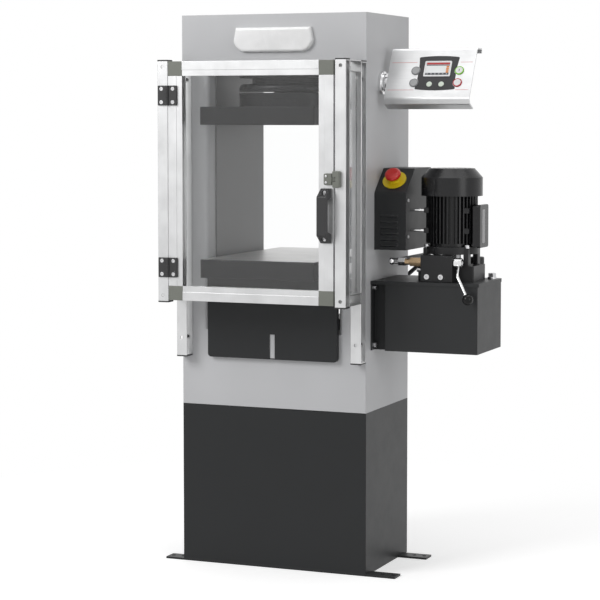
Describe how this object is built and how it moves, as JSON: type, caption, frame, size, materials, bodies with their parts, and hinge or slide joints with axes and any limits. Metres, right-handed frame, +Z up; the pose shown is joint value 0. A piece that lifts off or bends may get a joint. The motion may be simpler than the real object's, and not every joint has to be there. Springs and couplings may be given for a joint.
{
  "type": "compression testing machine",
  "caption": "Floor-standing concrete compression testing machine with a guarded test space, a side oil tank with motor pump, a control box and a tilting console.",
  "frame": {"origin": "on the floor, under the centre of the load frame", "axes": "+X to the operator's right, towards the oil tank; +Y to the back; +Z up"},
  "size_m": [0.8285, 0.586, 1.3945],
  "materials": {
    "frame_grey": "fine textured paint",
    "anthracite": "fine textured paint",
    "silver": "satin anodised",
    "black_plastic": "matt",
    "olive_plastic": "matt",
    "platen_steel": "ground and blackened",
    "ram_chrome": "ground and polished",
    "cast_dark": "machined and oiled",
    "steel": "satin",
    "chrome": "polished",
    "bronze": "turned",
    "black_paint": "satin",
    "badge_white": "gloss",
    "clear_pane": "clear",
    "hose_rubber": "matt",
    "yellow_plastic": "satin",
    "red_plastic": "satin",
    "membrane": "printed film",
    "screen_white": "satin",
    "key_grey": "satin",
    "key_green": "satin",
    "key_red": "satin",
    "key_pale": "satin"
  },
  "bodies": {
    "machine": {"base_pedestal": "anthracite", "foot_bars": "anthracite", "load_frame": "frame_grey", "column_liners": "frame_grey", "badge_plate": "badge_white", "lower_front_cover": "anthracite", "hydraulic_cylinder": "cast_dark", "upper_seat_housing": "cast_dark", "guard_profiles": "silver", "guard_side_panes": "clear_pane", "guard_end_caps": "black_plastic", "guard_screws": "steel", "hinge_leaves_post": "black_plastic", "latch_keeper": "olive_plastic", "oil_tank": "anthracite", "tank_lid": "anthracite", "cap_screws": "steel", "manifold_block": "black_paint", "bleed_screw": "steel", "bronze_union": "bronze", "hose_elbow": "chrome", "pressure_hose": "hose_rubber", "motor_bell": "black_paint", "motor_housing": "black_paint", "motor_cowl": "black_paint", "motor_terminal_box": "black_paint", "pump_body": "cast_dark", "filler_neck": "steel", "tank_plug": "steel", "control_box": "anthracite", "estop_disc": "yellow_plastic", "standoff_rods": "chrome", "console_collar": "chrome"},
    "ram": {"ram_piston": "ram_chrome", "lower_platen": "platen_steel"},
    "upper_platen": {"ball_seat": "cast_dark", "upper_platen": "platen_steel"},
    "door": {"door_profiles": "silver", "door_corner_blocks": "olive_plastic", "door_pane": "clear_pane", "door_handle": "black_plastic", "hinge_leaves_door": "black_plastic", "door_latch": "olive_plastic", "door_screws": "steel"},
    "rotor": {"motor_rotor": "steel", "motor_fan": "black_plastic"},
    "lever": {"valve_lever": "chrome", "lever_knob": "black_plastic"},
    "estop_head": {"estop_mushroom": "red_plastic"},
    "filler_lid": {"filler_cap": "black_plastic"},
    "console": {"console_shell": "silver", "console_case": "silver", "console_overlay": "membrane", "console_screen": "screen_white"},
    "key_upper_left": {"console_key_upper_left": "key_grey"},
    "key_lower_left": {"console_key_lower_left": "key_grey"},
    "key_start": {"console_key_start": "key_green"},
    "key_stop": {"console_key_stop": "key_red"},
    "key_small_left": {"console_key_small_left": "key_pale"},
    "key_small_right": {"console_key_small_right": "key_pale"}
  },
  "joints": [
    {"name": "ram_lift", "type": "slide", "parent": "machine", "child": "ram", "axis": [0, 0, 1], "range_m": [0, 0.05]},
    {"name": "platen_tilt", "type": "hinge", "parent": "machine", "child": "upper_platen", "pos_m": [0, 0, 1.119], "axis": [1, 0, 0], "range_deg": [-1.2, 1.2]},
    {"name": "door_swing", "type": "hinge", "parent": "machine", "child": "door", "pos_m": [-0.222, -0.2997, 0.97875], "axis": [0, 0, -1], "range_deg": [0, 165]},
    {"name": "motor_spin", "type": "hinge", "parent": "machine", "child": "rotor", "pos_m": [0.428, -0.025, 0.8195], "axis": [0, 0, 1], "continuous": true},
    {"name": "lever_turn", "type": "hinge", "parent": "machine", "child": "lever", "pos_m": [0.457, -0.093, 0.782], "axis": [-1, 0, 0], "range_deg": [0, 90]},
    {"name": "estop_press", "type": "slide", "parent": "machine", "child": "estop_head", "axis": [0, 0.6609, -0.7505], "range_m": [0, 0.005]},
    {"name": "filler_cap_lift", "type": "slide", "parent": "machine", "child": "filler_lid", "axis": [0, 0, 1], "range_m": [0, 0.03]},
    {"name": "console_tilt", "type": "hinge", "parent": "machine", "child": "console", "pos_m": [0.271, -0.048, 1.223], "axis": [1, 0, 0], "range_deg": [-20, 20]},
    {"name": "key_upper_left_press", "type": "slide", "parent": "console", "child": "key_upper_left", "axis": [0, 0.8821, -0.471], "range_m": [0, 0.0012], "stiffness_N_per_m": 1200},
    {"name": "key_lower_left_press", "type": "slide", "parent": "console", "child": "key_lower_left", "axis": [0, 0.8821, -0.471], "range_m": [0, 0.0012], "stiffness_N_per_m": 1200},
    {"name": "key_start_press", "type": "slide", "parent": "console", "child": "key_start", "axis": [0, 0.8821, -0.471], "range_m": [0, 0.0012], "stiffness_N_per_m": 1200},
    {"name": "key_stop_press", "type": "slide", "parent": "console", "child": "key_stop", "axis": [0, 0.8821, -0.471], "range_m": [0, 0.0012], "stiffness_N_per_m": 1200},
    {"name": "key_small_left_press", "type": "slide", "parent": "console", "child": "key_small_left", "axis": [0, 0.8821, -0.471], "range_m": [0, 0.0012], "stiffness_N_per_m": 1200},
    {"name": "key_small_right_press", "type": "slide", "parent": "console", "child": "key_small_right", "axis": [0, 0.8821, -0.471], "range_m": [0, 0.0012], "stiffness_N_per_m": 1200}
  ]
}
